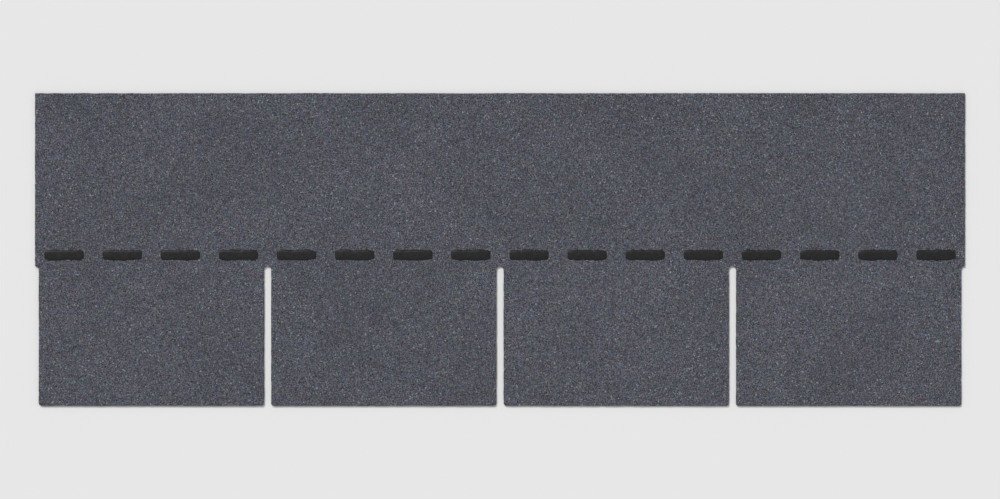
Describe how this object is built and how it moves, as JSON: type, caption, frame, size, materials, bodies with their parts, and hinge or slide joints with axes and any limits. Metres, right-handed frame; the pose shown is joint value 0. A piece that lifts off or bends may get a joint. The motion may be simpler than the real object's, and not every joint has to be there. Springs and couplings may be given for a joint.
{
  "type": "bitumen roof shingle",
  "caption": "Rectangular granule-faced bitumen roof shingle: a flat strip with slotted tabs along its butt edge and a row of sealing dashes on its head lap.",
  "frame": {"origin": "middle of the back face, on the floor plane the strip lies on", "axes": "+X along the strip, +Y up the slope from the tabs to the head edge, +Z out of the weather face"},
  "size_m": [1, 0.336, 0.0038],
  "materials": {
    "granule_face": "blue-grey crushed mineral granules pressed into black bitumen; black cut edges and a dusted back",
    "seal_bitumen": "smooth, slightly glossy black sealing bitumen"
  },
  "bodies": {
    "root": {"shingle_strip": "granule_face", "seal_dash_01": "seal_bitumen", "seal_dash_02": "seal_bitumen", "seal_dash_03": "seal_bitumen", "seal_dash_04": "seal_bitumen", "seal_dash_05": "seal_bitumen", "seal_dash_06": "seal_bitumen", "seal_dash_07": "seal_bitumen", "seal_dash_08": "seal_bitumen", "seal_dash_09": "seal_bitumen", "seal_dash_10": "seal_bitumen", "seal_dash_11": "seal_bitumen", "seal_dash_12": "seal_bitumen", "seal_dash_13": "seal_bitumen", "seal_dash_14": "seal_bitumen", "seal_dash_15": "seal_bitumen", "seal_dash_16": "seal_bitumen"}
  },
  "joints": []
}
